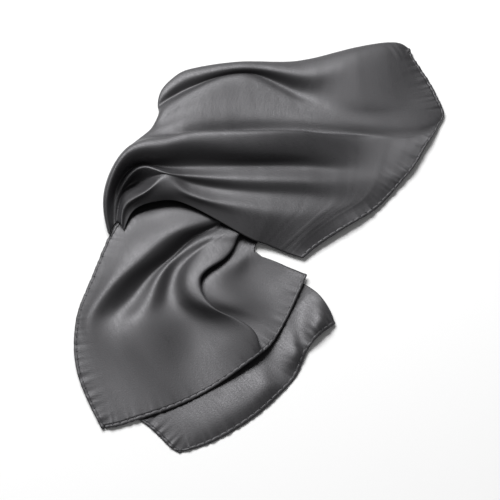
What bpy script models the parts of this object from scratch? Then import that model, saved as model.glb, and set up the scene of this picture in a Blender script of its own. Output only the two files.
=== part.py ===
"""A square satin scarf, folded in half to a band and dropped in a loose turn on a table.

Lengths are millimetres and are turned to metres when a mesh is made. X runs to the right, Y away
from the viewer and Z up, with the table top at Z = 0. Every stretch of cloth is a thin wall, worked
out from a short table: a row for each crest, trough or edge that runs along the stretch, and a
named place along it for each column.
"""

import bpy
import numpy as np
from mathutils import Vector
from mathutils.bvhtree import BVHTree

MM = 0.001

# The scarf: a square this long on each side, with a narrow rolled hem.
SIDE = 700.0
WALL = 1.2
HEM_WIDTH = 4.4
HEM_THICK = 2.0
GAP = 0.3

# Middle of the heap on the table, so that it stands on the origin.
CENTRE = np.array([8.7, 21.5, 0.0])

# A table gives each point by where the sight line from this eye meets the table top, and its height.
# The outline stays the same whatever the height of a fold.
EYE = np.array([0.0, -798.6, 1383.2])

# Inside the heap: space kept under the cloth, and the layers that show at the rim.
CORE_CLEAR = 1.5
CORE_MOST = 16.0
CORE_RIM = {"under_lip": (-1.6, 0.80), "layer_low": (0.0, 0.66), "groove": (-1.0, 0.50),
            "layer_high": (0.4, 0.34), "foot": (0.0, 0.0)}

SATIN = (0.062, 0.062, 0.066)
HEM_SATIN = (0.048, 0.048, 0.052)
BACK_STEP = 6.0
BACK_REACH = 58.0

UPPER_PLACES = ("hem", "inside", "right", "mid_right", "middle", "left", "near_turn", "turn", "turned", "tucked")
UPPER_ROWS = {
    "back_under": [(176, 280, 0.7), (164, 289, 0.7), (108, 279, 0.7), (44, 259, 0.7), (-20, 257, 0.7),
                   (-77, 247, 0.7), (-98, 236, 0.7), (-112, 220, 0.7), (-108, 213, 0.7), (-102, 208, 0.6)],
    "back_fold": [(183, 286, 4), (168, 297, 6), (110, 287, 9), (45, 267, 9), (-20, 265, 10), (-80, 255, 9),
                  (-104, 244, 8), (-121, 222, 6), (-116, 214, 1.5), (-106, 208, 0.6)],
    "strip": [(187, 278, 5), (168, 280, 11), (112, 267, 18), (57, 247, 18), (-14, 256, 16), (-78, 244, 15),
              (-102, 232, 13), (-126, 206, 8), (-120, 198, 1.5), (-108, 192, 0.6)],
    "strip_trough": [(207, 236, 4), (172, 216, 10), (108, 213, 14.5), (44, 221, 8.5), (-18, 247, 10.5),
                     (-80, 228, 9.5), (-104, 213, 8), (-125, 193, 7), (-119, 184, 1.5), (-108, 180, 0.6)],
    "layer_edge": [(216, 212, 4), (182, 196, 8.5), (112, 190, 11), (42, 208, 10), (-22, 239, 13.5), (-80, 221, 15),
                   (-104, 205, 15), (-124, 186, 13), (-124, 172, 3), (-116, 162, 0.6)],
    "flat": [(222, 188, 3), (190, 172, 7), (112, 174, 9.5), (45, 188, 10.5), (-20, 202, 12.5), (-80, 194, 17),
             (-108, 180, 18), (-132, 164, 14), (-137, 143, 2.5), (-132, 124, 0.6)],
    "slope": [(217, 177, 3.5), (185, 163, 6.5), (117, 165, 8), (48, 174, 10), (-20, 176, 12), (-84, 172, 20),
              (-113, 165, 21), (-142, 152, 14), (-146, 136, 2), (-140, 116, 0.6)],
    "first_foot": [(212, 166, 4), (180, 155, 6), (120, 156, 6.5), (50, 157, 9.5), (-20, 157, 11.5), (-88, 154, 21),
                   (-117, 152, 24), (-155, 139, 18), (-173, 104, 4), (-176, 58, 1)],
    "first_crest": [(203, 150, 6), (173, 146, 6), (114, 150, 9.5), (50, 161, 25.5), (-20, 161, 34.5), (-88, 157, 34.5),
                    (-122, 148, 34.5), (-163, 130, 31), (-184, 70, 17), (-175, 14, 5)],
    "first_top": [(197, 140, 6), (167, 134, 6.5), (113, 138, 10), (50, 151, 27.5), (-20, 150, 36.8), (-88, 147, 36.8),
                  (-122, 138, 36.8), (-162, 121, 32), (-179.5, 67, 19.5), (-173, 17, 6)],
    "first_slope": [(189, 124, 6), (160, 119, 6.5), (110, 119, 9.3), (50, 127, 21.5), (-20, 127, 29), (-88, 128, 29),
                    (-122, 121, 28), (-157, 110, 22), (-175.5, 68, 13), (-171.5, 20.5, 4)],
    "first_trough": [(181, 110, 6), (154, 106, 6.5), (108, 104, 9), (50, 110, 13.5), (-20, 110, 18),
                     (-88, 108, 17.5), (-121, 108, 18), (-152, 105, 14), (-170.5, 71, 8), (-170, 24, 3)],
    "second_crest": [(170, 95, 5), (147, 91, 7), (104, 88, 11), (50, 91, 18), (-20, 92, 22.5), (-88, 96, 23.5),
                     (-119, 102, 26), (-146, 103, 21), (-165.5, 70, 8), (-168.3, 27, 2.8)],
    "second_trough": [(143, 60, 3.5), (128, 66, 6.5), (98, 65, 9.5), (50, 71, 13.5), (-20, 75, 17.5), (-88, 87, 20),
                      (-117, 97, 25.5), (-147, 85, 5), (-162, 70, 3.5), (-166.5, 30, 2.8)],
    "third_crest": [(112, 35, 6), (96, 43, 8), (74, 44, 11.5), (38, 47, 16), (-20, 56, 20.5), (-88, 73, 23),
                    (-115, 91, 26.5), (-135, 75, 22), (-158, 57, 14), (-161.5, 27, 8.5)],
    "front_slope": [(70, 4, 5), (58, 14, 9), (48, 20, 11.5), (20, 28, 14.2), (-20, 39, 17.5), (-88, 65, 20),
                    (-116, 74, 23), (-138, 64, 18), (-155, 49, 11), (-159.5, 22, 7.5)],
    "front_edge": [(50, -15, 4), (36, -11, 3.5), (22, -5, 4), (2, 4, 6.5), (-22, 16, 10.5), (-88, 56, 15.5),
                   (-116, 60, 15.5), (-139, 53, 12), (-151, 41, 8), (-158, 19, 6.5)],
}

LOWER_PLACES = ("top", "roll", "shoulder", "upper", "middle", "lower", "cross", "inside", "hem")
LOWER_ROWS = {
    "side_hem": [(-118, 82, 2), (-141, 60, 1.2), (-163, 33, 1.3), (-177, 4, 2.6), (-191, -44, 4),
                 (-202, -82, 4), (-205, -110, 4), (-199, -160, 3), (-167, -228, 2)],
    "foot": [(-98, 72, 5), (-118, 54, 6), (-140, 27, 6.5), (-160, -4, 9), (-178, -46, 10), (-193, -83, 8.5),
             (-197, -109, 7), (-186, -158, 4.5), (-154, -226, 2.5)],
    "first_crest": [(-44, 44, 7.5), (-70, 32, 12), (-99, 16, 16.5), (-126, -12, 16.5), (-152, -42, 15.5),
                    (-173, -77, 12), (-182, -107, 9.5), (-168, -155, 5), (-136, -220, 3)],
    "first_trough": [(-38, 37, 4.5), (-54, 25, 4.5), (-77, 12, 4), (-101, -13, 3.8), (-126, -42, 4),
                     (-146, -77, 4.3), (-157, -104, 9), (-146, -150, 6.5), (-112, -211, 3.5)],
    "second_crest": [(-34, 34, 5), (-50, 21, 6.5), (-72, 9, 6.5), (-97, -16, 4.5), (-116, -45, 8.5),
                     (-127, -77, 11), (-136, -103, 13), (-121, -149, 9), (-92, -203, 3.5)],
    "second_trough": [(-31, 33, 5), (-46, 19, 8.5), (-66, 7, 9.5), (-92, -18, 4.5), (-105, -46, 4.5),
                      (-108, -76, 6.5), (-106, -101, 9), (-97, -146, 6.6), (-72, -193, 3.5)],
    "tongue": [(-28, 31, 5.5), (-41, 17, 10), (-58, 5, 9.5), (-82, -19, 5.5), (-94, -45, 5), (-91, -74, 6.5),
               (-76, -98, 4.5), (-66, -136, 3.2), (-48, -178, 4)],
    "third_crest": [(-23, 28, 6), (-35, 15, 10.5), (-46, 4, 10.5), (-66, -18, 13), (-80, -45, 15.5),
                    (-69, -75, 15.5), (-44, -95, 12.5), (-30, -123, 10.5), (-20, -156, 7.5)],
    "pleat_edge": [(-16, 25, 5.5), (-26, 12, 9), (-30, 0, 9.2), (-44, -20, 12.2), (-67, -43, 15),
                   (-54, -78, 16.5), (-30, -92, 15.2), (-5, -110, 13), (0, -139, 9)],
    "pleat_under": [(-20, 22, 3), (-31, 10, 3.8), (-40, -2, 4.6), (-56, -18, 4.8), (-76, -41, 6.4),
                    (-67, -74, 7.2), (-45, -88, 7), (-22, -105, 6.4), (7, -133, 7.9)],
    "pleat_return": [(-12, 19, 2.3), (-17, 8, 2.6), (-25, -3, 3.2), (-38, -20, 6.2), (-55, -45, 10.3),
                     (-42, -72, 10.8), (-24, -84, 8.2), (-4, -98, 5.5), (13.5, -126, 6)],
    "panel": [(-6, 18, 2.5), (-10, 8, 3), (-14, -3, 3.8), (-15, -16, 4.8), (-20, -38, 4.8), (-7, -58, 4.4),
              (5, -68, 4), (17, -80, 3.8), (30, -96, 4.2)],
    "panel_edge": [(3, 14, 3), (-3, 5, 3.5), (-7, -4, 4), (-4, -11, 4), (8, -16, 3.5), (24, -23, 3.5),
                   (32, -27, 3.5), (41, -31, 4), (54, -37, 5)],
}

UNDER_PLACES = ("hem", "inside", "middle", "hidden", "deep", "tucked")
UNDER_ROWS = {
    "side_hem": [(-83, -254, 1), (-94, -247, 1), (-118, -224, 1), (-150, -197, 0.8), (-172, -100, 0.8),
                 (-140, 0, 0.8)],
    "corner": [(-53, -244, 1), (-64, -232, 3), (-86, -210, 2), (-115, -180, 0.8), (-140, -90, 0.8), (-118, 0, 0.8)],
    "front": [(-22, -226, 1), (-33, -212, 4), (-55, -190, 2), (-85, -155, 0.8), (-112, -80, 0.8), (-98, 0, 0.8)],
    "front_two": [(6, -204, 1), (-4, -191, 5), (-25, -170, 2), (-55, -135, 0.8), (-84, -70, 0.8), (-80, 0, 0.8)],
    "first_crest": [(25, -184, 1), (13, -174, 5), (-1, -152, 2), (-22, -122, 0.8), (-58, -60, 0.8), (-64, 0, 0.8)],
    "first_trough": [(41, -164, 1), (29, -159, 2), (14, -142, 1), (-4, -112, 0.8), (-38, -55, 0.8), (-50, 0, 0.8)],
    "second_crest": [(50, -142, 2), (41, -135, 7), (27, -118, 2), (8, -96, 0.8), (-24, -50, 0.8), (-40, 0, 0.8)],
    "second_trough": [(56, -128, 4), (48, -118, 3), (38, -98, 1.5), (18, -80, 0.8), (-12, -42, 0.8), (-32, 0, 0.8)],
    "third_crest": [(68, -113, 6), (64, -98, 10), (52, -76, 2), (32, -62, 0.8), (0, -34, 0.8), (-25, 0, 0.8)],
    "edge": [(85, -99, 3), (80, -84, 3), (67, -62, 2), (46, -46, 0.8), (12, -22, 0.8), (-15, 2, 0.8)],
}

# The heap under the upper band: where each section across it starts and ends, in plan.
CORE_SECTIONS = {
    "left_end": (-100, 84, 196), "left": (-78, 56, 214), "left_middle": (-48, 39, 226), "middle": (-14, 28, 234),
    "right_middle": (30, 42, 240), "right": (66, 84, 250), "near_right": (100, 122, 258), "right_end": (124, 158, 258),
}


def lifted(seen):
    """Points given as (x, y seen on the table top, height), at their real places."""
    seen = np.asarray(seen, float)
    floor = np.concatenate([seen[..., :2], np.zeros_like(seen[..., :1])], axis=-1)
    share = (seen[..., 2] / EYE[2])[..., None]
    return floor + (EYE - floor) * share - CENTRE


def knots(points):
    """Knots for a row of sections, from how far apart they lie on average."""
    steps = np.linalg.norm(np.diff(points, axis=0), axis=-1)
    while steps.ndim > 1:
        steps = steps.mean(axis=-1)
    return np.concatenate([[0.0], np.cumsum(np.sqrt(steps))])


def spline(at, points, where):
    """A natural cubic spline through points at the given knots, read at other places."""
    count = len(at)
    gaps = np.diff(at)
    shape = points.reshape(count, -1)
    system = np.eye(count)
    right = np.zeros((count, shape.shape[1]))
    for i in range(1, count - 1):
        system[i, i - 1] = gaps[i - 1]
        system[i, i] = 2 * (gaps[i - 1] + gaps[i])
        system[i, i + 1] = gaps[i]
        right[i] = 6 * ((shape[i + 1] - shape[i]) / gaps[i] - (shape[i] - shape[i - 1]) / gaps[i - 1])
    bend = np.linalg.solve(system, right)
    index = np.clip(np.searchsorted(at, where, side="right") - 1, 0, count - 2)
    width = gaps[index][:, None]
    before = (where - at[index])[:, None]
    after = width - before
    made = (
        bend[index] * after**3 / (6 * width)
        + bend[index + 1] * before**3 / (6 * width)
        + (shape[index] / width - bend[index] * width / 6) * after
        + (shape[index + 1] / width - bend[index + 1] * width / 6) * before
    )
    return made.reshape((len(where),) + points.shape[1:])


def surface(rows, across=160, along=160):
    """A smooth, dense grid of points through the rows of a table, kept from sinking into the table top."""
    net = lifted(list(rows.values()))
    row_knots = knots(net)
    place_knots = knots(np.swapaxes(net, 0, 1))
    made = spline(row_knots, net, np.linspace(0, row_knots[-1], across))
    made = spline(place_knots, np.swapaxes(made, 0, 1), np.linspace(0, place_knots[-1], along))
    made = np.swapaxes(made, 0, 1)
    made[..., 2] = np.maximum(made[..., 2], WALL / 2)
    return made


def resampled(grid, count, cut_start=0.0, cut_end=0.0):
    """Each column of the grid cut back at its ends by a length, and read at evenly spread places."""
    made = np.empty((count,) + grid.shape[1:])
    steps = np.linalg.norm(np.diff(grid, axis=0), axis=-1)
    length = np.concatenate([np.zeros((1, grid.shape[1])), np.cumsum(steps, axis=0)])
    spread = np.linspace(0, 1, grid.shape[0])
    for column in range(grid.shape[1]):
        at = length[:, column]
        ends = np.interp([cut_start, at[-1] - cut_end], at, spread)
        places = np.interp(np.linspace(ends[0], ends[1], count), spread, at)
        for axis in range(3):
            made[:, column, axis] = np.interp(places, at, grid[:, column, axis])
    return made


def turned(grid):
    return np.swapaxes(grid, 0, 1)


def unit(vectors):
    return vectors / np.linalg.norm(vectors, axis=-1, keepdims=True)


def satin(name, colour, roughness):
    """A plain, dark, softly shining satin."""
    made = bpy.data.materials.new(name)
    made.use_nodes = True
    shader = made.node_tree.nodes["Principled BSDF"]
    shader.inputs["Base Color"].default_value = colour + (1.0,)
    shader.inputs["Roughness"].default_value = roughness
    shader.inputs["Metallic"].default_value = 0.0
    return made


def mesh_object(name, points, faces, colour, roughness):
    mesh = bpy.data.meshes.new(name)
    mesh.from_pydata((np.asarray(points) * MM).tolist(), [], faces)
    mesh.update()
    made = bpy.data.objects.new(name, mesh)
    mesh.materials.append(satin(name, colour, roughness))
    bpy.context.scene.collection.objects.link(made)
    return made


def grid_faces(across, along, first=0, flip=False):
    faces = []
    for i in range(across - 1):
        for j in range(along - 1):
            a = first + i * along + j
            face = (a, a + along, a + along + 1, a + 1)
            faces.append(face[::-1] if flip else face)
    return faces


def wall(name, grid, flip=False):
    """A panel of cloth: the grid, thickened evenly to both sides."""
    made = mesh_object(name, grid.reshape(-1, 3), grid_faces(*grid.shape[:2], flip=flip), SATIN, 0.42)
    thick = made.modifiers.new("wall", "SOLIDIFY")
    thick.thickness = WALL * MM
    thick.offset = 0.0
    return made


def hem(name, lines):
    """A rolled hem along the start of the lines: a flattened roll, as wide as the hem."""
    rim = lines[0]
    inner = resampled(lines, 60, HEM_WIDTH)[0]
    inward = unit(inner - rim)
    along = unit(np.gradient(rim, axis=0))
    up = unit(np.cross(along, inward))
    facing = -1.0 if up[:, 2].mean() < 0 else 1.0
    up *= facing
    ring = []
    for angle in np.radians([0, 60, 120, 180, 240, 300]):
        across = inward * (HEM_WIDTH / 2) * (1 + np.cos(angle))
        ring.append(rim + across + up * (HEM_THICK / 2) * np.sin(angle))
    points = np.stack(ring, axis=1)
    points[..., 2] += np.maximum(0, 0.02 - points[..., 2].min(axis=1))[:, None]
    count, sides = points.shape[:2]
    faces = []
    for i in range(count - 1):
        for k in range(sides):
            a, b = i * sides + k, i * sides + (k + 1) % sides
            faces.append((a, a + sides, b + sides, b))
    faces.append(tuple(range(sides)))
    faces.append(tuple((count - 1) * sides + k for k in range(sides))[::-1])
    if facing > 0:
        faces = [face[::-1] for face in faces]
    return mesh_object(name, points.reshape(-1, 3), faces, HEM_SATIN, 0.5)


def upper_band():
    """The band above, with the hem of its right end. Gives back its lines, which run from that hem."""
    lines = turned(resampled(surface(UPPER_ROWS), 44))
    hem("hem_upper_front", lines[:, 2:])
    panel = resampled(lines, 28, HEM_WIDTH + GAP)
    wall("upper_front_layer", panel, flip=True)
    return lines, panel


def upper_back(lines):
    """The band's second layer, which shows as a thin step under the end of the first."""
    length = np.linalg.norm(np.diff(lines, axis=0), axis=-1).sum(axis=0)
    shown = lines[:, 7:-3]
    made = np.empty((60, shown.shape[1], 3))
    for column in range(shown.shape[1]):
        line = shown[:, column:column + 1]
        rest = length[column + 7] - BACK_STEP - BACK_REACH
        made[:, column:column + 1] = resampled(line, 60, BACK_STEP, rest)
    made[..., 2] = np.clip(0.3 * made[..., 2] + 0.4, 1.0, 4.5)
    hem("hem_upper_back", made)
    panel = resampled(made, 6, HEM_WIDTH + GAP)
    wall("upper_back_layer", panel, flip=True)
    return panel


def two_hemmed(name, rows, across, along, from_end):
    """A layer with a hem down the side of its first row, and one across its end."""
    dense = surface(rows)
    if from_end:
        dense = dense[:, ::-1]
    lines = turned(resampled(turned(dense), along, HEM_WIDTH + GAP))
    side = np.concatenate([dense[:, :1], lines], axis=1)
    hem("hem_" + name + "_side", side)
    inside = resampled(dense, across, HEM_WIDTH + GAP)
    hem("hem_" + name + "_end", turned(inside))
    panel = resampled(lines, across, HEM_WIDTH + GAP)
    wall(name + "_layer", panel, flip=not from_end)
    return panel


def open_height(trees, x, y):
    """How high the space over a place on the table is, below all the cloth near it."""
    lowest = 99.0
    for side_x in (-6, 0, 6):
        for side_y in (-18, -12, -6, 0, 6, 12, 18):
            for tree in trees:
                hit = tree.ray_cast(Vector((x + side_x, y + side_y, -5)), Vector((0, 0, 1)))[0]
                if hit is not None:
                    lowest = min(lowest, hit.z)
    return lowest


def heap(panels):
    """The hidden layers as one rounded solid: flat below, its top just under the cloth."""
    across, along = 18, 11
    table = np.array(list(CORE_SECTIONS.values()), float)
    at = knots(table)
    section = spline(at, table, np.linspace(0, at[-1], across))
    bulge = np.sin(np.linspace(0, np.pi, across)) ** 0.5
    trees = [BVHTree.FromPolygons(p.reshape(-1, 3).tolist(), grid_faces(*p.shape[:2])) for p in panels]
    top = np.empty((across, along, 3))
    for i in range(across):
        x, front, back = section[i] - np.array([CENTRE[0], CENTRE[1], CENTRE[1]])
        for j, share in enumerate(np.linspace(0, 1, along)):
            y = front + (back - front) * share
            room = open_height(trees, x, y) - WALL / 2 - CORE_CLEAR
            rim = min(i, across - 1 - i, j, along - 1 - j)
            crown = CORE_MOST * (0.28 if rim == 0 else 0.62 if rim == 1 else 1.0)
            top[i, j] = (x, y, max(2.4, min(crown, room)))
    loop = [(i, 0) for i in range(across)] + [(across - 1, j) for j in range(1, along)]
    loop += [(i, along - 1) for i in range(across - 2, -1, -1)] + [(0, j) for j in range(along - 2, 0, -1)]
    rim = np.array([top[place] for place in loop])
    middle = top.reshape(-1, 3).mean(axis=0)
    ahead = np.roll(rim, -1, axis=0) - np.roll(rim, 1, axis=0)
    outward = unit(np.stack([ahead[:, 1], -ahead[:, 0], np.zeros(len(rim))], axis=1))
    points = [top.reshape(-1, 3)]
    faces = grid_faces(across, along)
    ring = [i * along + j for i, j in loop]
    for shift, share in CORE_RIM.values():
        lower = rim + outward * (shift + 1.6)
        lower[:, 2] = rim[:, 2] * share
        first = sum(len(p) for p in points)
        below = list(range(first, first + len(loop)))
        points.append(lower)
        for k in range(len(loop)):
            nxt = (k + 1) % len(loop)
            faces.append((ring[k], below[k], below[nxt], ring[nxt]))
        ring = below
    inner = top.copy()
    inner[..., 2] = 0.0
    first = sum(len(p) for p in points)
    points.append(inner.reshape(-1, 3))
    faces += grid_faces(across, along, first, flip=True)
    base = [first + i * along + j for i, j in loop]
    for k in range(len(loop)):
        nxt = (k + 1) % len(loop)
        faces.append((ring[k], base[k], base[nxt], ring[nxt]))
    return mesh_object("hidden_layers", np.concatenate(points), faces, SATIN, 0.5)


def clear_scene():
    for thing in list(bpy.data.objects):
        bpy.data.objects.remove(thing)


def main():
    clear_scene()
    lines, upper = upper_band()
    second = upper_back(lines)
    front = two_hemmed("lower_front", LOWER_ROWS, 38, 22, True)
    back = two_hemmed("lower_back", UNDER_ROWS, 24, 15, False)
    heap([upper, second, front, back])


main()
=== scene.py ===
"""The looks of a square satin scarf, dropped in a loose turn: cloth, rolled hems, stitches and stage.

Lengths in the tables are millimetres, in the same frame as the solids: X to the right, Y away from
the viewer and Z up from the surface that the scarf lies on. A row of a table is a crest, trough or
edge that runs along a stretch of the cloth, and a column is a named place along it.
"""

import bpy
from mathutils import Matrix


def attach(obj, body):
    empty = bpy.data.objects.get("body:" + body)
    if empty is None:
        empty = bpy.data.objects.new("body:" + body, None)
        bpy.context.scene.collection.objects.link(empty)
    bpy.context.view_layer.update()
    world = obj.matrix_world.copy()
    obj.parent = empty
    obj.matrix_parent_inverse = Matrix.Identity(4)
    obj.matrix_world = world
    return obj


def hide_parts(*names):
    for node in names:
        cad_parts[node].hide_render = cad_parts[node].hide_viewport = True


bl_info = {
    "name": "Dropped satin scarf",
    "version": (1, 0, 0),
    "blender": (4, 5, 0),
    "location": "View3D > Sidebar > Scarf",
    "description": "Builds the cloth, hems, stitches and studio of a square satin scarf",
    "category": "Add Mesh",
}

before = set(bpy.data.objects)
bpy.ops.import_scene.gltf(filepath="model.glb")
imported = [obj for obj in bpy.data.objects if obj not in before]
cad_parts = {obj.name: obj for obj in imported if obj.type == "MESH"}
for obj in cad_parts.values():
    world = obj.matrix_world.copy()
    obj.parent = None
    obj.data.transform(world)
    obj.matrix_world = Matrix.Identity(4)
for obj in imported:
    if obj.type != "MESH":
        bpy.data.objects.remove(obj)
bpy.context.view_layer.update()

import math

import bpy
import numpy as np
from mathutils import Vector

MM = 0.001

# Middle of the heap on the table, so that it stands on the origin.
CENTRE = np.array([8.7, 21.5, 0.0])

# A table gives each point by where the sight line from this eye meets the table top, and its height.
# The outline stays the same whatever the height of a fold.
EYE = np.array([0.0, -798.6, 1383.2])

# The band's second layer: how far it lies inside the end of the first, and how much of it is made.
BACK_STEP = 6.0
BACK_REACH = 58.0

UPPER_PLACES = (
    "hem", "inside", "right", "mid_right", "middle", "left", "near_turn", "turn", "turned", "tucked",
)
UPPER_ROWS = {
    "back_under": [(176, 280, 0.7), (164, 289, 0.7), (108, 279, 0.7), (44, 259, 0.7), (-20, 257, 0.7),
                   (-77, 247, 0.7), (-98, 236, 0.7), (-112, 220, 0.7), (-108, 213, 0.7),
                   (-102, 208, 0.6)],
    "back_fold": [(183, 286, 4), (168, 297, 6), (110, 287, 9), (45, 267, 9), (-20, 265, 10),
                  (-80, 255, 9), (-104, 244, 8), (-121, 222, 6), (-116, 214, 1.5), (-106, 208, 0.6)],
    "strip": [(187, 278, 5), (168, 280, 11), (112, 267, 18), (57, 247, 18), (-14, 256, 16),
              (-78, 244, 15), (-102, 232, 13), (-126, 206, 8), (-120, 198, 1.5), (-108, 192, 0.6)],
    "strip_trough": [(207, 236, 4), (172, 216, 10), (108, 213, 14.5), (44, 221, 8.5), (-18, 247, 10.5),
                     (-80, 228, 9.5), (-104, 213, 8), (-125, 193, 7), (-119, 184, 1.5), (-108, 180, 0.6)],
    "layer_edge": [(216, 212, 4), (182, 196, 8.5), (112, 190, 11), (42, 208, 10), (-22, 239, 13.5),
                   (-80, 221, 15), (-104, 205, 15), (-124, 186, 13), (-124, 172, 3), (-116, 162, 0.6)],
    "flat": [(222, 188, 3), (190, 172, 7), (112, 174, 9.5), (45, 188, 10.5), (-20, 202, 12.5),
             (-80, 194, 17), (-108, 180, 18), (-132, 164, 14), (-137, 143, 2.5), (-132, 124, 0.6)],
    "slope": [(217, 177, 3.5), (185, 163, 6.5), (117, 165, 8), (48, 174, 10), (-20, 176, 12),
              (-84, 172, 20), (-113, 165, 21), (-142, 152, 14), (-146, 136, 2), (-140, 116, 0.6)],
    "first_foot": [(212, 166, 4), (180, 155, 6), (120, 156, 6.5), (50, 157, 9.5), (-20, 157, 11.5),
                   (-88, 154, 21), (-117, 152, 24), (-155, 139, 18), (-173, 104, 4), (-176, 58, 1)],
    "first_crest": [(203, 150, 6), (173, 146, 6), (114, 150, 9.5), (50, 161, 25.5), (-20, 161, 34.5),
                    (-88, 157, 34.5), (-122, 148, 34.5), (-163, 130, 31), (-184, 70, 17), (-175, 14, 5)],
    "first_top": [(197, 140, 6), (167, 134, 6.5), (113, 138, 10), (50, 151, 27.5), (-20, 150, 36.8),
                  (-88, 147, 36.8), (-122, 138, 36.8), (-162, 121, 32), (-179.5, 67, 19.5),
                  (-173, 17, 6)],
    "first_slope": [(189, 124, 6), (160, 119, 6.5), (110, 119, 9.3), (50, 127, 21.5), (-20, 127, 29),
                    (-88, 128, 29), (-122, 121, 28), (-157, 110, 22), (-175.5, 68, 13),
                    (-171.5, 20.5, 4)],
    "first_trough": [(181, 110, 6), (154, 106, 6.5), (108, 104, 9), (50, 110, 13.5), (-20, 110, 18),
                     (-88, 108, 17.5), (-121, 108, 18), (-152, 105, 14), (-170.5, 71, 8), (-170, 24, 3)],
    "second_crest": [(170, 95, 5), (147, 91, 7), (104, 88, 11), (50, 91, 18), (-20, 92, 22.5),
                     (-88, 96, 23.5), (-119, 102, 26), (-146, 103, 21), (-165.5, 70, 8),
                     (-168.3, 27, 2.8)],
    "second_trough": [(143, 60, 3.5), (128, 66, 6.5), (98, 65, 9.5), (50, 71, 13.5), (-20, 75, 17.5),
                      (-88, 87, 20), (-117, 97, 25.5), (-147, 85, 5), (-162, 70, 3.5), (-166.5, 30, 2.8)],
    "third_crest": [(112, 35, 6), (96, 43, 8), (74, 44, 11.5), (38, 47, 16), (-20, 56, 20.5),
                    (-88, 73, 23), (-115, 91, 26.5), (-135, 75, 22), (-158, 57, 14), (-161.5, 27, 8.5)],
    "front_slope": [(70, 4, 5), (58, 14, 9), (48, 20, 11.5), (20, 28, 14.2), (-20, 39, 17.5),
                    (-88, 65, 20), (-116, 74, 23), (-138, 64, 18), (-155, 49, 11), (-159.5, 22, 7.5)],
    "front_edge": [(50, -15, 4), (36, -11, 3.5), (22, -5, 4), (2, 4, 6.5), (-22, 16, 10.5),
                   (-88, 56, 15.5), (-116, 60, 15.5), (-139, 53, 12), (-151, 41, 8), (-158, 19, 6.5)],
}

LOWER_PLACES = ("top", "roll", "shoulder", "upper", "middle", "lower", "cross", "inside", "hem")
LOWER_ROWS = {
    "side_hem": [(-118, 82, 2), (-141, 60, 1.2), (-163, 33, 1.3), (-177, 4, 2.6), (-191, -44, 4),
                 (-202, -82, 4), (-205, -110, 4), (-199, -160, 3), (-167, -228, 2)],
    "foot": [(-98, 72, 5), (-118, 54, 6), (-140, 27, 6.5), (-160, -4, 9), (-178, -46, 10),
             (-193, -83, 8.5), (-197, -109, 7), (-186, -158, 4.5), (-154, -226, 2.5)],
    "first_crest": [(-44, 44, 7.5), (-70, 32, 12), (-99, 16, 16.5), (-126, -12, 16.5), (-152, -42, 15.5),
                    (-173, -77, 12), (-182, -107, 9.5), (-168, -155, 5), (-136, -220, 3)],
    "first_trough": [(-38, 37, 4.5), (-54, 25, 4.5), (-77, 12, 4), (-101, -13, 3.8), (-126, -42, 4),
                     (-146, -77, 4.3), (-157, -104, 9), (-146, -150, 6.5), (-112, -211, 3.5)],
    "second_crest": [(-34, 34, 5), (-50, 21, 6.5), (-72, 9, 6.5), (-97, -16, 4.5), (-116, -45, 8.5),
                     (-127, -77, 11), (-136, -103, 13), (-121, -149, 9), (-92, -203, 3.5)],
    "second_trough": [(-31, 33, 5), (-46, 19, 8.5), (-66, 7, 9.5), (-92, -18, 4.5), (-105, -46, 4.5),
                      (-108, -76, 6.5), (-106, -101, 9), (-97, -146, 6.6), (-72, -193, 3.5)],
    "tongue": [(-28, 31, 5.5), (-41, 17, 10), (-58, 5, 9.5), (-82, -19, 5.5), (-94, -45, 5),
               (-91, -74, 6.5), (-76, -98, 4.5), (-66, -136, 3.2), (-48, -178, 4)],
    "third_crest": [(-23, 28, 6), (-35, 15, 10.5), (-46, 4, 10.5), (-66, -18, 13), (-80, -45, 15.5),
                    (-69, -75, 15.5), (-44, -95, 12.5), (-30, -123, 10.5), (-20, -156, 7.5)],
    "pleat_edge": [(-16, 25, 5.5), (-26, 12, 9), (-30, 0, 9.2), (-44, -20, 12.2), (-67, -43, 15),
                   (-54, -78, 16.5), (-30, -92, 15.2), (-5, -110, 13), (0, -139, 9)],
    "pleat_under": [(-20, 22, 3), (-31, 10, 3.8), (-40, -2, 4.6), (-56, -18, 4.8), (-76, -41, 6.4),
                    (-67, -74, 7.2), (-45, -88, 7), (-22, -105, 6.4), (7, -133, 7.9)],
    "pleat_return": [(-12, 19, 2.3), (-17, 8, 2.6), (-25, -3, 3.2), (-38, -20, 6.2), (-55, -45, 10.3),
                     (-42, -72, 10.8), (-24, -84, 8.2), (-4, -98, 5.5), (13.5, -126, 6)],
    "panel": [(-6, 18, 2.5), (-10, 8, 3), (-14, -3, 3.8), (-15, -16, 4.8), (-20, -38, 4.8),
              (-7, -58, 4.4), (5, -68, 4), (17, -80, 3.8), (30, -96, 4.2)],
    "panel_edge": [(3, 14, 3), (-3, 5, 3.5), (-7, -4, 4), (-4, -11, 4), (8, -16, 3.5), (24, -23, 3.5),
                   (32, -27, 3.5), (41, -31, 4), (54, -37, 5)],
}

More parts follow.
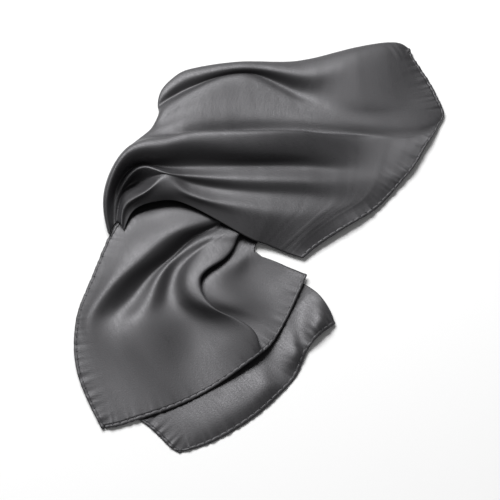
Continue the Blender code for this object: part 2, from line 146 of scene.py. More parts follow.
UNDER_PLACES = ("hem", "inside", "middle", "hidden", "deep", "tucked")
UNDER_ROWS = {
    "side_hem": [(-83, -254, 1), (-94, -247, 1), (-118, -224, 1), (-150, -197, 0.8), (-172, -100, 0.8),
                 (-140, 0, 0.8)],
    "corner": [(-53, -244, 1), (-64, -232, 3), (-86, -210, 2), (-115, -180, 0.8), (-140, -90, 0.8),
               (-118, 0, 0.8)],
    "front": [(-22, -226, 1), (-33, -212, 4), (-55, -190, 2), (-85, -155, 0.8), (-112, -80, 0.8),
              (-98, 0, 0.8)],
    "front_two": [(6, -204, 1), (-4, -191, 5), (-25, -170, 2), (-55, -135, 0.8), (-84, -70, 0.8),
                  (-80, 0, 0.8)],
    "first_crest": [(25, -184, 1), (13, -174, 5), (-1, -152, 2), (-22, -122, 0.8), (-58, -60, 0.8),
                    (-64, 0, 0.8)],
    "first_trough": [(41, -164, 1), (29, -159, 2), (14, -142, 1), (-4, -112, 0.8), (-38, -55, 0.8),
                     (-50, 0, 0.8)],
    "second_crest": [(50, -142, 2), (41, -135, 7), (27, -118, 2), (8, -96, 0.8), (-24, -50, 0.8),
                     (-40, 0, 0.8)],
    "second_trough": [(56, -128, 4), (48, -118, 3), (38, -98, 1.5), (18, -80, 0.8), (-12, -42, 0.8),
                      (-32, 0, 0.8)],
    "third_crest": [(68, -113, 6), (64, -98, 10), (52, -76, 2), (32, -62, 0.8), (0, -34, 0.8),
                    (-25, 0, 0.8)],
    "edge": [(85, -99, 3), (80, -84, 3), (67, -62, 2), (46, -46, 0.8), (12, -22, 0.8), (-15, 2, 0.8)],
}

# No surface sinks lower than this.
LEAST_HEIGHT = 0.6

# Waves in the hand of the cloth: height, length across the folds, length along them, start.
CLOTH_WAVES = {
    "long_soft": (0.35, 41.0, 210.0, 0.4),
    "crossing": (0.28, 27.0, 150.0, 2.1),
    "short_soft": (0.16, 17.0, 96.0, 4.4),
    "drag": (0.10, 11.0, 64.0, 1.3),
}

# How far the cloth runs in under its rolled hem, the gap where two hems meet at a corner, and the
# least height of a shell's middle.
HEM_TUCK = 1.2
HEM_CORNER_GAP = 0.3
SHELL_LEAST = 0.5

# Each stitch is a small slanted thread: half its length, half its width and half its height.
STITCH = (1.5, 0.36, 0.30)
STITCH_INSET = 0.5

# Ends of the second layer that stay out of sight, and how flat it lies.
BACK_SHOWN = (32, 14)
BACK_FLATNESS = 0.3
BACK_HEIGHTS = (1.0, 4.5)

# The hidden layers sink to this share of their solid's height, clear of the cloth above.
SETTLED = 0.84

# Where the camera looks on the table top, in the tables' millimetres.
AIM = np.array([-11.5, -5.3, 0.0])
LENS = 100.0
SENSOR = 36.0

# Lights: place and size in metres.
KEY_LIGHT = ((-1.1, 2.2, 2.45), (2.9, 1.8))
FILL_LIGHT = ((0.7, -0.9, 1.6), (1.0, 1.0))
FLOOR_SIZE = 8.0

# Puckers at a stitched hem: share of the pucker height, spacing along the hem, start.
PUCKER_WAVES = {
    "main": (0.48, 9.7, 0.3),
    "second": (0.36, 6.3, 1.9),
    "slow": (0.40, 21.0, 4.0),
    "drift": (0.26, 14.3, 2.7),
}

# Each hem's puckers: their height as a share of the size's, and how far they reach into the cloth.
PUCKERED_HEMS = {
    "upper": (1.3, 12.0),
    "upper_back": (0.6, 7.0),
    "lower_front": (1.1, 9.0),
    "lower_back_side": (1.0, 9.0),
    "lower_back_end": (1.2, 11.0),
}

# Points each way in the dense surfaces that the stretches are read from.
FINE_NET = 300
PLAIN_NET = 200

# Rows of points over the second layer's step, for its whole width and for the cloth inside its hem.
BACK_ROWS = 60
BACK_CLOTH_ROWS = 24

# Rows of points over the cut from a rim to the inner edge of its hem.
RIM_ROWS = 80


def lifted(seen):
    """Points given as (x, y seen on the table top, height), at their real places."""
    seen = np.asarray(seen, float)
    floor = np.concatenate([seen[..., :2], np.zeros_like(seen[..., :1])], axis=-1)
    share = (seen[..., 2] / EYE[2])[..., None]
    return floor + (EYE - floor) * share - CENTRE


def knots(points):
    """Knots for a row of sections, from how far apart they lie on average."""
    steps = np.linalg.norm(np.diff(points, axis=0), axis=-1)
    while steps.ndim > 1:
        steps = steps.mean(axis=-1)
    return np.concatenate([[0.0], np.cumsum(np.sqrt(steps))])


def spline(at, points, where):
    """A natural cubic spline through points at the given knots, read at other places."""
    count = len(at)
    gaps = np.diff(at)
    shape = points.reshape(count, -1)
    system = np.eye(count)
    right = np.zeros((count, shape.shape[1]))
    for i in range(1, count - 1):
        system[i, i - 1] = gaps[i - 1]
        system[i, i] = 2 * (gaps[i - 1] + gaps[i])
        system[i, i + 1] = gaps[i]
        right[i] = 6 * ((shape[i + 1] - shape[i]) / gaps[i] - (shape[i] - shape[i - 1]) / gaps[i - 1])
    bend = np.linalg.solve(system, right)
    index = np.clip(np.searchsorted(at, where, side="right") - 1, 0, count - 2)
    width = gaps[index][:, None]
    before = (where - at[index])[:, None]
    after = width - before
    made = (
        bend[index] * after**3 / (6 * width)
        + bend[index + 1] * before**3 / (6 * width)
        + (shape[index] / width - bend[index] * width / 6) * after
        + (shape[index + 1] / width - bend[index + 1] * width / 6) * before
    )
    return made.reshape((len(where),) + points.shape[1:])


def surface(rows, across=160, along=160):
    """A smooth, dense grid of points through the rows of a table, kept from sinking into the table top."""
    net = lifted(list(rows.values()))
    row_knots = knots(net)
    place_knots = knots(np.swapaxes(net, 0, 1))
    made = spline(row_knots, net, np.linspace(0, row_knots[-1], across))
    made = spline(place_knots, np.swapaxes(made, 0, 1), np.linspace(0, place_knots[-1], along))
    made = np.swapaxes(made, 0, 1)
    made[..., 2] = np.maximum(made[..., 2], LEAST_HEIGHT)
    return made


def resampled(grid, count, cut_start=0.0, cut_end=0.0):
    """Each column of the grid cut back at its ends by a length, and read at evenly spread places."""
    made = np.empty((count,) + grid.shape[1:])
    steps = np.linalg.norm(np.diff(grid, axis=0), axis=-1)
    length = np.concatenate([np.zeros((1, grid.shape[1])), np.cumsum(steps, axis=0)])
    spread = np.linspace(0, 1, grid.shape[0])
    for column in range(grid.shape[1]):
        at = length[:, column]
        ends = np.interp([cut_start, at[-1] - cut_end], at, spread)
        places = np.interp(np.linspace(ends[0], ends[1], count), spread, at)
        for axis in range(3):
            made[:, column, axis] = np.interp(places, at, grid[:, column, axis])
    return made


def turned(grid):
    """The grid with its rows as columns."""
    return np.swapaxes(grid, 0, 1)


def unit(vectors):
    return vectors / np.linalg.norm(vectors, axis=-1, keepdims=True)


def run_along(line):
    """Length from the start of a line to each of its points."""
    return np.concatenate([[0.0], np.cumsum(np.linalg.norm(np.diff(line, axis=0), axis=-1))])


def mean_steps(points):
    """Length from the first row to each row, as the mean over the columns."""
    steps = np.linalg.norm(np.diff(points, axis=0), axis=-1).mean(axis=-1)
    return np.concatenate([[0.0], np.cumsum(steps)])


def normals(grid):
    """Unit normals of a grid of points, all on the side that mostly looks up."""
    made = np.cross(np.gradient(grid, axis=0), np.gradient(grid, axis=1))
    made = unit(made)
    return made if made[..., 2].mean() > 0 else -made


def hand_of_cloth(grid, height):
    """Small uneven waves that run along the folds."""
    across = mean_steps(grid)[:, None]
    along = mean_steps(turned(grid))[None, :]
    lift = np.zeros(grid.shape[:2])
    for size, wide, long, start in CLOTH_WAVES.values():
        bend = 0.9 * np.sin(along / (long * 0.37) + start)
        lift += size * np.sin(2 * math.pi * (across / wide + along / long) + start + bend)
    return grid + normals(grid) * (lift * height)[..., None]


def puckered(grid, size, hem):
    """Short ridges square to the hem along the first row, which die away into the cloth."""
    share_of_height, reach = PUCKERED_HEMS[hem]
    height = size.pucker * share_of_height
    rim = grid[0]
    way = unit(np.gradient(rim, axis=0))
    passed = run_along(rim)
    away = np.empty(grid.shape[:2])
    along = np.empty(grid.shape[:2])
    for i, row in enumerate(grid):
        apart = np.linalg.norm(row[:, None] - rim[None], axis=-1)
        near = apart.argmin(axis=1)
        away[i] = apart[np.arange(len(row)), near]
        along[i] = passed[near] + ((row - rim[near]) * way[near]).sum(axis=-1)
    lift = np.zeros(grid.shape[:2])
    for share, spacing, start in PUCKER_WAVES.values():
        drift = 0.8 * np.sin(along / 31.0 + start)
        lift += share * np.sin(2 * math.pi * along / spacing + start + drift)
    uneven = 0.65 + 0.35 * np.sin(along / 37.0 + 1.0)
    fade = np.exp(-((away / reach) ** 1.3))
    return grid + normals(grid) * (fade * lift * uneven * height)[..., None]


def above_floor(grid, least):
    """The grid with no point lower than the least height."""
    made = grid.copy()
    made[..., 2] = np.maximum(made[..., 2], least)
    return made


def grid_object(name, grid):
    """A mesh grid with its points at the given places, and its UV map in metres of cloth."""
    if np.cross(np.gradient(grid, axis=0), np.gradient(grid, axis=1))[..., 2].mean() > 0:
        grid = grid[::-1]
    rows, columns = grid.shape[:2]
    bpy.ops.mesh.primitive_grid_add(x_subdivisions=columns - 1, y_subdivisions=rows - 1, size=1)
    made = bpy.context.object
    made.name = made.data.name = name
    made.data.vertices.foreach_set("co", (grid * MM).reshape(-1))
    across = np.cumsum(np.linalg.norm(np.diff(grid, axis=1), axis=-1), axis=1)
    wide = np.concatenate([np.zeros((rows, 1)), across], axis=1)
    upward = np.cumsum(np.linalg.norm(np.diff(grid, axis=0), axis=-1), axis=0)
    high = np.concatenate([np.zeros((1, columns)), upward])
    place = np.stack([wide, high], axis=-1).reshape(-1, 2) * MM
    corner = np.empty(len(made.data.loops), dtype=np.int32)
    made.data.loops.foreach_get("vertex_index", corner)
    made.data.uv_layers.active.data.foreach_set("uv", place[corner].reshape(-1))
    made.data.update()
    return made


def alone(made):
    """Make this the only piece selected, and the active one."""
    bpy.ops.object.select_all(action="DESELECT")
    made.select_set(True)
    bpy.context.view_layer.objects.active = made


def thin_shell(made, thickness):
    """The grid given a wall on both sides of it."""
    alone(made)
    wall = made.modifiers.new("cloth", "SOLIDIFY")
    wall.thickness = thickness * MM
    wall.offset = 0.0
    bpy.ops.object.modifier_apply(modifier=wall.name)
    bpy.ops.object.shade_smooth()
    return made


def hem_axes(rim, inner):
    """At each point of a hem: the way into the cloth, the way along, and the way up."""
    inward = unit(inner - rim)
    along = unit(np.gradient(rim, axis=0))
    up = unit(np.cross(along, inward))
    return inward, along, up if up[:, 2].mean() > 0 else -up


def rolled_hem(name, lines, size):
    """The rolled edge along the start of the lines, pinched where each stitch draws it in."""
    rim = lines[0]
    inner = resampled(lines, RIM_ROWS, size.hem_width)[0]
    inward, _, up = hem_axes(rim, inner)
    run = run_along(rim)
    nearest = np.abs((run / size.stitch_spacing + 0.5) % 1.0 - 0.5) * size.stitch_spacing
    pinch = np.exp(-((nearest / 1.5) ** 2))
    swell = 1.0 + 0.10 * np.sin(run / 6.1 + 0.5) + 0.06 * np.sin(run / 2.7)
    half_width = size.hem_width / 2
    sides = 14
    ring = []
    for step in range(sides + 1):
        angle = 2 * math.pi * step / sides
        inner_side = 0.5 + 0.5 * math.cos(angle)
        reach = half_width * (1 + math.cos(angle)) - 0.7 * pinch * inner_side
        lift = size.hem_thickness / 2 * math.sin(angle) * swell * (1 - 0.45 * pinch * inner_side)
        ring.append(rim + inward * reach[:, None] + up * lift[:, None])
    tube = np.stack(ring)
    tube[..., 2] += np.maximum(0, 0.05 - tube[..., 2].min(axis=0))[None, :]
    made = grid_object(name, tube)
    alone(made)
    bpy.ops.object.mode_set(mode="EDIT")
    bpy.ops.mesh.select_all(action="SELECT")
    bpy.ops.mesh.remove_doubles(threshold=0.00002)
    bpy.ops.mesh.select_all(action="DESELECT")
    bpy.ops.mesh.select_non_manifold(extend=False)
    bpy.ops.mesh.fill_holes(sides=0)
    bpy.ops.mesh.select_all(action="SELECT")
    bpy.ops.mesh.normals_make_consistent(inside=False)
    bpy.ops.object.mode_set(mode="OBJECT")
    bpy.ops.object.shade_smooth()
    return made


def hand_stitches(name, lines, size):
    """Small slanted stitches over the inner edge of a hem, one copy of a short thread for each."""
    rim = lines[0]
    inner = resampled(lines, RIM_ROWS, size.hem_width - STITCH_INSET)[0]
    inward, along, up = hem_axes(rim, inner)
    run = run_along(rim)
    bpy.ops.object.select_all(action="DESELECT")
    bpy.ops.mesh.primitive_uv_sphere_add(segments=6, ring_count=5, radius=1.0)
    thread = bpy.context.object
    shape = np.empty(len(thread.data.vertices) * 3)
    thread.data.vertices.foreach_get("co", shape)
    shape = shape.reshape(-1, 3)
    half_length, half_width, half_height = STITCH
    copies = []
    for at in np.arange(size.stitch_spacing, run[-1] - 2, size.stitch_spacing):
        i = int(np.argmin(np.abs(run - at)))
        lean = unit(inward[i] * 0.85 + along[i] * 0.5)
        side = np.cross(up[i], lean)
        middle = inner[i] + up[i] * (size.hem_thickness * 0.36)
        slope = unit(lean - up[i] * 0.30)
        points = middle + shape[:, 2:] * slope * half_length
        points = points + shape[:, :1] * side * half_width + shape[:, 1:2] * up[i] * half_height
        bpy.ops.object.select_all(action="DESELECT")
        piece = thread.copy()
        piece.data = thread.data.copy()
        bpy.context.collection.objects.link(piece)
        piece.data.vertices.foreach_set("co", (points * MM).reshape(-1))
        copies.append(piece)
    bpy.ops.object.select_all(action="DESELECT")
    for piece in copies:
        piece.select_set(True)
    bpy.context.view_layer.objects.active = copies[0]
    bpy.ops.object.join()
    made = bpy.context.object
    made.name = made.data.name = name
    bpy.ops.object.mode_set(mode="EDIT")
    bpy.ops.mesh.select_all(action="SELECT")
    bpy.ops.mesh.normals_make_consistent(inside=False)
    bpy.ops.object.mode_set(mode="OBJECT")
    bpy.ops.object.shade_smooth()
    bpy.data.objects.remove(thread)
    return made


class Term:
    """A shader socket in a sum: the operators add Math nodes."""

    def __init__(self, finish, socket):
        self.finish = finish
        self.socket = socket

    def _maths(self, operation, first, second):
        return self.finish.node("ShaderNodeMath", {"operation": operation}, {0: first, 1: second})

    def __add__(self, other):
        return self._maths("ADD", self, other)

    def __radd__(self, other):
        return self._maths("ADD", other, self)

    def __sub__(self, other):
        return self._maths("SUBTRACT", self, other)

    def __rsub__(self, other):
        return self._maths("SUBTRACT", other, self)

    def __mul__(self, other):
        return self._maths("MULTIPLY", self, other)

    def __rmul__(self, other):
        return self._maths("MULTIPLY", other, self)


class Finish:
    """A material that is built by naming nodes and what goes into them."""

    def __init__(self, name):
        self.material = bpy.data.materials.new(name)
        self.material.use_nodes = True
        self.tree = self.material.node_tree
        self.shader = self.tree.nodes["Principled BSDF"]

    def node(self, kind, settings=None, inputs=None, output=0):
        made = self.tree.nodes.new(kind)
        for key, value in (settings or {}).items():
            setattr(made, key, value)
        self.fill(made, inputs or {})
        return Term(self, made.outputs[output])

    def fill(self, made, inputs):
        for key, value in inputs.items():
            if isinstance(value, Term):
                self.tree.links.new(value.socket, made.inputs[key])
            else:
                made.inputs[key].default_value = value

    def shade(self, **inputs):
        self.fill(self.shader, {key.replace("_", " "): value for key, value in inputs.items()})


def satin_finish(name, look, colour, roughness, grain):
    """Dark satin: a broad soft gloss, fine warp streaks, and a very fine weave in relief."""
    finish = Finish(name)
    place = finish.node("ShaderNodeUVMap")
    warp = finish.node("ShaderNodeMapping", {}, {"Vector": place, "Scale": (420.0, 2300.0, 1.0)})
    slub = finish.node("ShaderNodeMapping", {}, {"Vector": place, "Scale": (60.0, 420.0, 1.0)})
    fine = finish.node("ShaderNodeTexNoise", {}, {"Vector": warp, "Scale": 1.0, "Detail": 2.0})
    streak = finish.node("ShaderNodeTexNoise", {}, {"Vector": slub, "Scale": 1.0, "Detail": 3.0})
    mottle = finish.node("ShaderNodeTexNoise", {}, {"Vector": place, "Scale": 38.0, "Detail": 2.0})
    speck = finish.node("ShaderNodeTexNoise", {}, {"Vector": place, "Scale": 640.0, "Detail": 1.0})
    tone = fine * 0.2 + streak * 0.25 + mottle * 0.15 + speck * 0.4
    darker = tuple(part * (1 - grain) for part in colour) + (1.0,)
    lighter = tuple(part * (1 + grain) for part in colour) + (1.0,)
    mixed = finish.node(
        "ShaderNodeMix", {"data_type": "RGBA"}, {"Factor": tone, 6: darker, 7: lighter}, output=2
    )
    weave = fine * 0.4 + streak * 0.1 + speck * 0.6
    bump = finish.node(
        "ShaderNodeBump", {}, {"Strength": look.weave_depth, "Distance": 0.0006, "Height": weave}
    )
    finish.shade(
        Base_Color=mixed,
        Roughness=tone * 0.8 + (roughness - 0.4),
        Specular_IOR_Level=look.gloss,
        Specular_Tint=(0.97, 0.96, 1.0, 1.0),
        Sheen_Weight=look.sheen,
        Sheen_Roughness=0.45,
        Sheen_Tint=(0.86, 0.86, 1.0, 1.0),
        Normal=bump,
    )
    return finish.material


def thread_finish(name, colour):
    """Matt sewing thread with a fine twist."""
    finish = Finish(name)
    place = finish.node("ShaderNodeTexCoord", {}, {}, output=3)
    twist = finish.node("ShaderNodeTexNoise", {}, {"Vector": place, "Scale": 1900.0, "Detail": 1.0})
    darker = tuple(part * 0.8 for part in colour) + (1.0,)
    lighter = tuple(part * 1.3 for part in colour) + (1.0,)
    mixed = finish.node(
        "ShaderNodeMix", {"data_type": "RGBA"}, {"Factor": twist, 6: darker, 7: lighter}, output=2
    )
    finish.shade(Base_Color=mixed, Roughness=0.62)
    return finish.material


def floor_finish(name, colour):
    """A plain pale floor."""
    finish = Finish(name)
    place = finish.node("ShaderNodeTexCoord", {}, {}, output=3)
    cloud = finish.node("ShaderNodeTexNoise", {}, {"Vector": place, "Scale": 1.2, "Detail": 1.0})
    low = tuple(part * 0.995 for part in colour) + (1.0,)
    full = tuple(colour) + (1.0,)
    mixed = finish.node(
        "ShaderNodeMix", {"data_type": "RGBA"}, {"Factor": cloud, 6: low, 7: full}, output=2
    )
    finish.shade(Base_Color=mixed, Roughness=0.85, Specular_IOR_Level=0.1)
    return finish.material


def finish_named(name, make):
    """The material of this name, made when it is first asked for."""
    return bpy.data.materials.get(name) or make(name)


def dress(made, material):
    """Give a piece its one material."""
    made.data.materials.clear()
    made.data.materials.append(material)


def satin_of(context):
    look = context.scene.scarf_look
    return finish_named(
        "charcoal_satin", lambda name: satin_finish(name, look, tuple(look.satin), look.roughness, 0.35)
    )


def hem_satin_of(context):
    look = context.scene.scarf_look
    return finish_named(
        "rolled_satin", lambda name: satin_finish(name, look, tuple(look.hem), look.roughness + 0.06, 0.5)
    )


def thread_of(context):
    look = context.scene.scarf_look
    return finish_named("grey_thread", lambda name: thread_finish(name, tuple(look.thread)))


def cloth_piece(context, name, node, grid):
    """A stretch of cloth that stands for its solid."""
    size = context.scene.scarf_size
    made = thin_shell(grid_object(name, grid), size.cloth)
    dress(made, satin_of(context))
    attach(made, "root")
    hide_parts(node)
    return made


def hem_piece(context, name, node, lines):
    """A rolled hem that stands for its solid, and its stitches."""
    size = context.scene.scarf_size
    roll = rolled_hem(name + "_roll", lines, size)
    dress(roll, hem_satin_of(context))
    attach(roll, "root")
    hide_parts(node)
    stitches = hand_stitches(name + "_stitches", lines, size)
    dress(stitches, thread_of(context))
    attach(stitches, "root")
    return [roll, stitches]


def upper_lines(size):
    """The upper band's lines, which run from the hem at its right end to the turn at its left."""
    lines = turned(resampled(surface(UPPER_ROWS, FINE_NET, FINE_NET), size.fineness + 40))
    lines = resampled(lines, size.fineness - 20)
    lines = hand_of_cloth(lines, size.hand)
    return above_floor(puckered(lines, size, "upper"), SHELL_LEAST)


def back_lines(size):
    """The lines of the band's second layer, a step inside the end of the first."""
    lines = turned(resampled(surface(UPPER_ROWS, PLAIN_NET, PLAIN_NET), PLAIN_NET))
    length = np.linalg.norm(np.diff(lines, axis=0), axis=-1).sum(axis=0)
    first, last = BACK_SHOWN
    shown = lines[:, first:-last]
    made = np.empty((BACK_ROWS, shown.shape[1], 3))
    for column in range(shown.shape[1]):
        rest = length[column + first] - BACK_STEP - BACK_REACH
        made[:, column:column + 1] = resampled(shown[:, column:column + 1], BACK_ROWS, BACK_STEP, rest)
    made[..., 2] = np.clip(BACK_FLATNESS * made[..., 2] + 0.4, *BACK_HEIGHTS)
    return above_floor(puckered(made, size, "upper_back"), SHELL_LEAST)


def lower_front_grid(size):
    """The lower end's upper layer: rows from its side hem, columns from its end hem."""
    grid = resampled(surface(LOWER_ROWS, FINE_NET, FINE_NET)[:, ::-1], size.fineness + 20)
    grid = turned(resampled(turned(grid), size.fineness - 30))
    grid = hand_of_cloth(grid, size.hand)
    grid = puckered(grid, size, "lower_front")
    return above_floor(turned(puckered(turned(grid), size, "lower_front")), SHELL_LEAST)


def lower_back_grid(size):
    """The lower end's second layer, in the same order."""
    grid = resampled(surface(UNDER_ROWS, PLAIN_NET, PLAIN_NET), size.fineness - 40)
    grid = turned(resampled(turned(grid), size.fineness - 80))
    grid = hand_of_cloth(grid, size.hand * 0.6)
    grid = puckered(grid, size, "lower_back_side")
    return above_floor(turned(puckered(turned(grid), size, "lower_back_end")), SHELL_LEAST)


def inside_hems(grid, size):
    """A stretch of the lower end without its two hems."""
    cut = size.hem_width - HEM_TUCK
    panel = turned(resampled(turned(grid), grid.shape[1], cut))
    return resampled(panel, grid.shape[0], cut)


class ScarfSize(bpy.types.PropertyGroup):
    """Sizes of the cloth's finish, in millimetres where no unit says otherwise."""

    cloth: bpy.props.FloatProperty(
        name="Cloth", description="Thickness of the cloth, in mm", default=0.8, min=0.2
    )
    hem_width: bpy.props.FloatProperty(
        name="Hem width", description="Width of a rolled hem, in mm", default=4.4, min=1.0
    )
    hem_thickness: bpy.props.FloatProperty(
        name="Hem thickness", description="Thickness of a rolled hem, in mm", default=2.0, min=0.5
    )
    stitch_spacing: bpy.props.FloatProperty(
        name="Stitch spacing", description="From one hand stitch to the next, in mm", default=9.0,
        min=2.0
    )
    pucker: bpy.props.FloatProperty(
        name="Pucker", description="Height of the puckers at a stitched hem, in mm", default=0.8,
        min=0.0
    )
    hand: bpy.props.FloatProperty(
        name="Hand", description="Share of the small waves in the cloth", default=0.12, min=0.0
    )
    fineness: bpy.props.IntProperty(
        name="Fineness", description="Rows of points over a stretch of cloth", default=200, min=120
    )


class ScarfLook(bpy.types.PropertyGroup):
    """Colours and gloss of the cloth and the thread."""

    satin: bpy.props.FloatVectorProperty(
        name="Satin", description="Colour of the satin", subtype="COLOR", size=3,
        default=(0.0150, 0.0145, 0.0155), min=0.0, max=1.0
    )
    hem: bpy.props.FloatVectorProperty(
        name="Hem", description="Colour of the rolled hems", subtype="COLOR", size=3,
        default=(0.0150, 0.0145, 0.0155), min=0.0, max=1.0
    )
    thread: bpy.props.FloatVectorProperty(
        name="Thread", description="Colour of the stitches", subtype="COLOR", size=3,
        default=(0.045, 0.045, 0.05), min=0.0, max=1.0
    )
    roughness: bpy.props.FloatProperty(
        name="Roughness", description="How broad the gloss is", subtype="FACTOR", default=0.5, min=0.0,
        max=1.0
    )
    gloss: bpy.props.FloatProperty(
        name="Gloss", description="Strength of the gloss", subtype="FACTOR", default=0.75, min=0.0,
        max=1.0
    )
    sheen: bpy.props.FloatProperty(
        name="Sheen", description="Strength of the sheen at a low angle", subtype="FACTOR",
        default=0.06, min=0.0, max=1.0
    )
    weave_depth: bpy.props.FloatProperty(
        name="Weave depth", description="Strength of the weave's relief", subtype="FACTOR",
        default=0.3, min=0.0, max=1.0
    )


class StudioSet(bpy.types.PropertyGroup):
    """Floor, lights and camera."""

    floor: bpy.props.FloatVectorProperty(
        name="Floor", description="Colour of the floor", subtype="COLOR", size=3,
        default=(0.93, 0.93, 0.93), min=0.0, max=1.0
    )
    key_power: bpy.props.FloatProperty(
        name="Key light", description="Power of the large light behind the scarf", unit="POWER",
        default=196.0, min=0.0
    )
    fill_power: bpy.props.FloatProperty(
        name="Fill light", description="Power of the weak light in front", unit="POWER", default=1.5,
        min=0.0
    )
    sky: bpy.props.FloatProperty(
        name="Sky", description="Strength of the even light all round", default=0.14, min=0.0
    )


class SCARF_OT_upper_band(bpy.types.Operator):
    """Build the upper band: its front layer, the layer under it, and their hems"""

    bl_idname = "scarf.upper_band"
    bl_label = "Upper band"

    def execute(self, context):
        size = context.scene.scarf_size
        lines = upper_lines(size)
        panel = resampled(lines, lines.shape[0], size.hem_width - HEM_TUCK)
        front = cloth_piece(context, "upper_front_cloth", "upper_front_layer", panel)
        trim = hem_piece(context, "upper_front_hem", "hem_upper_front", lines[:, 14:])
        second = back_lines(size)
        panel = resampled(second, BACK_CLOTH_ROWS, size.hem_width - HEM_TUCK)
        back = cloth_piece(context, "upper_back_cloth", "upper_back_layer", panel)
        trim = hem_piece(context, "upper_back_hem", "hem_upper_back", second)
        return {"FINISHED"}


class SCARF_OT_lower_end(bpy.types.Operator):
    """Build the lower end: its front layer with the side fold, its back layer, and their hems"""

    bl_idname = "scarf.lower_end"
    bl_label = "Lower end"

    def execute(self, context):
        size = context.scene.scarf_size
        grid = lower_front_grid(size)
        panel = inside_hems(grid, size)
        front = cloth_piece(context, "lower_front_cloth", "lower_front_layer", panel)
        trim = hem_piece(context, "lower_front_side_hem", "hem_lower_front_side", grid)
        inside = resampled(grid, grid.shape[0], size.hem_width + HEM_CORNER_GAP)
        trim += hem_piece(context, "lower_front_end_hem", "hem_lower_front_end", turned(inside))
        grid = lower_back_grid(size)
        panel = inside_hems(grid, size)
        back = cloth_piece(context, "lower_back_cloth", "lower_back_layer", panel)
        trim = hem_piece(context, "lower_back_side_hem", "hem_lower_back_side", grid)
        inside = resampled(grid, grid.shape[0], size.hem_width + HEM_CORNER_GAP)
        trim += hem_piece(context, "lower_back_end_hem", "hem_lower_back_end", turned(inside))
        return {"FINISHED"}


class SCARF_OT_hidden_layers(bpy.types.Operator):
    """Round off the folded layers that lie inside the upper band"""

    bl_idname = "scarf.hidden_layers"
    bl_label = "Hidden layers"

    def execute(self, context):
        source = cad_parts["hidden_layers"]
        made = source.copy()
        made.data = source.data.copy()
        made.name = made.data.name = "folded_layers"
        context.collection.objects.link(made)
        alone(made)
        bpy.ops.object.mode_set(mode="EDIT")
        bpy.ops.mesh.select_all(action="SELECT")
        bpy.ops.mesh.remove_doubles(threshold=0.00005)
        bpy.ops.mesh.tris_convert_to_quads()
        bpy.ops.object.mode_set(mode="OBJECT")
        soft = made.modifiers.new("soft", "SUBSURF")
        soft.levels = soft.render_levels = 2
        bpy.ops.object.modifier_apply(modifier=soft.name)
        bpy.ops.object.shade_smooth()
        low = np.empty(len(made.data.vertices) * 3)
        made.data.vertices.foreach_get("co", low)
        low[2::3] = low[2::3] * SETTLED
        made.data.vertices.foreach_set("co", low)
        if not made.data.uv_layers:
            made.data.uv_layers.new(name="UVMap")
        spots = np.empty(len(made.data.vertices) * 3)
        made.data.vertices.foreach_get("co", spots)
        spots = spots.reshape(-1, 3)
        corner = np.empty(len(made.data.loops), dtype=np.int32)
        made.data.loops.foreach_get("vertex_index", corner)
        flat = np.stack([spots[:, 0], spots[:, 1] + spots[:, 2]], axis=1)
        made.data.uv_layers.active.data.foreach_set("uv", flat[corner].reshape(-1))
        dress(made, satin_of(context))
        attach(made, "root")
        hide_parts("hidden_layers")
        return {"FINISHED"}


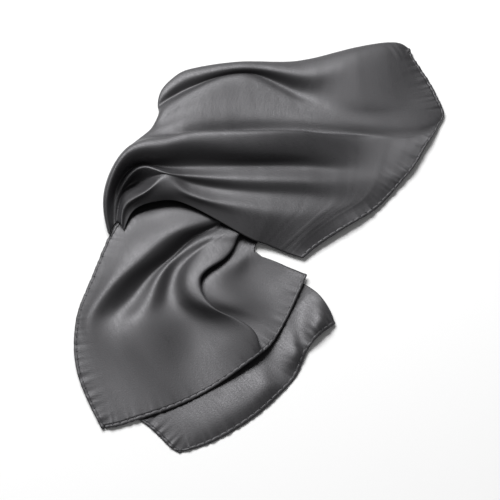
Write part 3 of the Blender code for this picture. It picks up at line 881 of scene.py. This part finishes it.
class SCARF_OT_stage(bpy.types.Operator):
    """Set the white floor, the soft lights and the camera"""

    bl_idname = "scarf.stage"
    bl_label = "Stage"

    def execute(self, context):
        scene = context.scene
        studio = scene.scarf_studio
        bpy.ops.object.select_all(action="DESELECT")
        bpy.ops.mesh.primitive_plane_add(size=FLOOR_SIZE)
        floor = context.object
        floor.name = floor.data.name = "floor"
        dress(floor, floor_finish("white_floor", tuple(studio.floor)))
        world = bpy.data.worlds.new("studio")
        world.use_nodes = True
        sky = world.node_tree.nodes["Background"]
        sky.inputs["Color"].default_value = (1.0, 1.0, 1.0, 1.0)
        sky.inputs["Strength"].default_value = studio.sky
        scene.world = world
        self.light("key", *KEY_LIGHT, studio.key_power)
        self.light("fill", *FILL_LIGHT, studio.fill_power)
        scene.view_settings.view_transform = "Standard"
        lens = bpy.data.cameras.new("camera")
        lens.lens = LENS
        lens.sensor_width = SENSOR
        camera = bpy.data.objects.new("camera", lens)
        context.collection.objects.link(camera)
        eye = Vector(((EYE - CENTRE) * MM).tolist())
        aim = Vector(((AIM - CENTRE) * MM).tolist())
        camera.location = eye
        camera.rotation_mode = "QUATERNION"
        camera.rotation_quaternion = (aim - eye).to_track_quat("-Z", "Y")
        scene.camera = camera
        return {"FINISHED"}

    def light(self, name, place, size, power):
        bpy.ops.object.select_all(action="DESELECT")
        bpy.ops.object.light_add(type="AREA", location=place)
        lamp = bpy.context.object
        lamp.name = lamp.data.name = name
        lamp.data.shape = "RECTANGLE"
        lamp.data.size, lamp.data.size_y = size
        lamp.data.energy = power
        lamp.rotation_mode = "QUATERNION"
        lamp.rotation_quaternion = (-Vector(place)).to_track_quat("-Z", "Y")


class SCARF_PT_panel(bpy.types.Panel):
    """Sizes, colours and steps of the scarf"""

    bl_idname = "SCARF_PT_panel"
    bl_label = "Satin scarf"
    bl_space_type = "VIEW_3D"
    bl_region_type = "UI"
    bl_category = "Scarf"

    def draw(self, context):
        scene = context.scene
        for group in (scene.scarf_size, scene.scarf_look, scene.scarf_studio):
            box = self.layout.box()
            for key in group.bl_rna.properties.keys():
                if key not in ("rna_type", "name"):
                    box.prop(group, key)
        for step in STEPS:
            self.layout.operator(step)


STEPS = ("scarf.upper_band", "scarf.lower_end", "scarf.hidden_layers", "scarf.stage")
CLASSES = (
    ScarfSize,
    ScarfLook,
    StudioSet,
    SCARF_OT_upper_band,
    SCARF_OT_lower_end,
    SCARF_OT_hidden_layers,
    SCARF_OT_stage,
    SCARF_PT_panel,
)


def register():
    for kind in CLASSES:
        bpy.utils.register_class(kind)
    bpy.types.Scene.scarf_size = bpy.props.PointerProperty(type=ScarfSize)
    bpy.types.Scene.scarf_look = bpy.props.PointerProperty(type=ScarfLook)
    bpy.types.Scene.scarf_studio = bpy.props.PointerProperty(type=StudioSet)


def unregister():
    del bpy.types.Scene.scarf_studio
    del bpy.types.Scene.scarf_look
    del bpy.types.Scene.scarf_size
    for kind in reversed(CLASSES):
        bpy.utils.unregister_class(kind)


def main():
    register()
    bpy.ops.scarf.upper_band()
    bpy.ops.scarf.lower_end()
    bpy.ops.scarf.hidden_layers()
    bpy.ops.scarf.stage()


if __name__ == "__main__":
    main()
